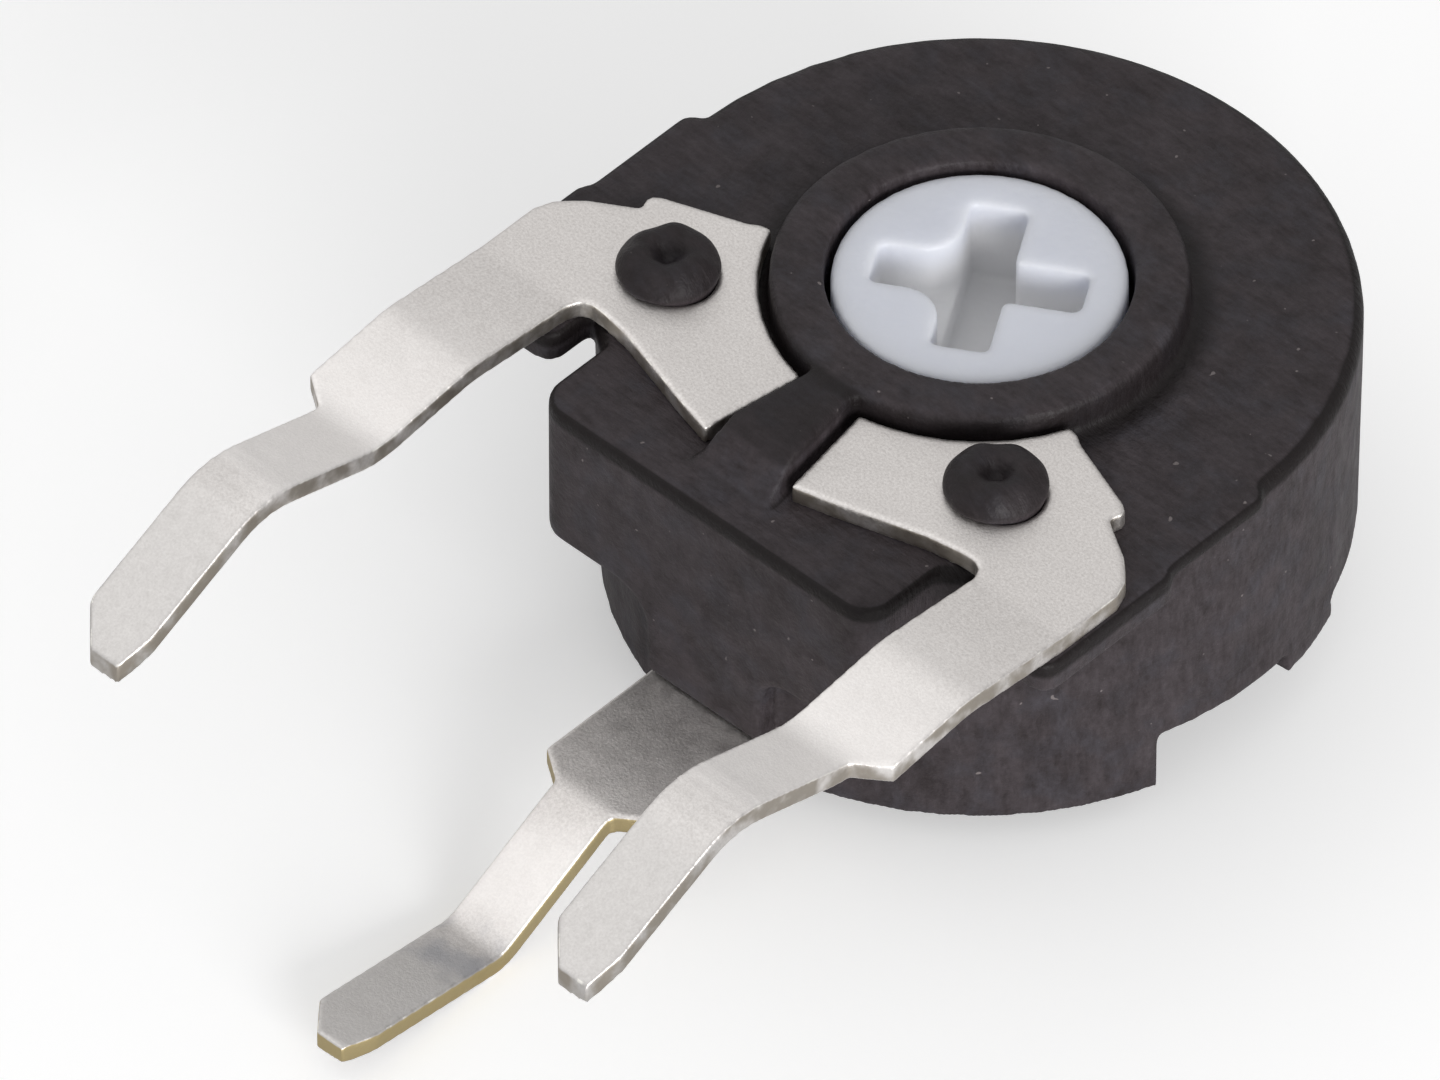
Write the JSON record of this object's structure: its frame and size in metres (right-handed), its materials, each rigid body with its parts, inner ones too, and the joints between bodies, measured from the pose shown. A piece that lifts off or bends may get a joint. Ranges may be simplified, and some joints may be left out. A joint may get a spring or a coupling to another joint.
{
  "type": "trimmer potentiometer",
  "caption": "Small round trimmer potentiometer: dark moulded body, white cross-slotted rotor and flat crimped legs for a printed circuit board.",
  "frame": {"origin": "on the rotor axis, at the outer face of the rear cover", "axes": "+Z along the rotor axis out of the front face, +Y away from the legs, +X to the right leg as seen from the front"},
  "size_m": [0.0064, 0.0105, 0.0035],
  "materials": {
    "housing_plastic": "matt moulded, warm charcoal",
    "rotor_plastic": "satin moulded, cool white",
    "tinned_sheet": "tin-plated sheet, fine matt grain, bare brass on cut edges",
    "contact_spring": "rolled spring sheet",
    "laminate": "punched resin paper board",
    "carbon": "printed carbon film",
    "silver_print": "printed silver film"
  },
  "bodies": {
    "case": {"housing": "housing_plastic", "rear_cover": "housing_plastic", "resistor_plate": "laminate", "carbon_track": "carbon", "left_end_pad": "silver_print", "right_end_pad": "silver_print", "left_terminal": "tinned_sheet", "right_terminal": "tinned_sheet", "middle_terminal": "tinned_sheet"},
    "rotor": {"rotor": "rotor_plastic", "sliding_contact": "contact_spring"}
  },
  "joints": [
    {"name": "rotor_turn", "type": "hinge", "parent": "case", "child": "rotor", "pos_m": [0, 0, 0.0028], "axis": [0, 0, 1], "range_deg": [-148.5, 86.5]}
  ]
}
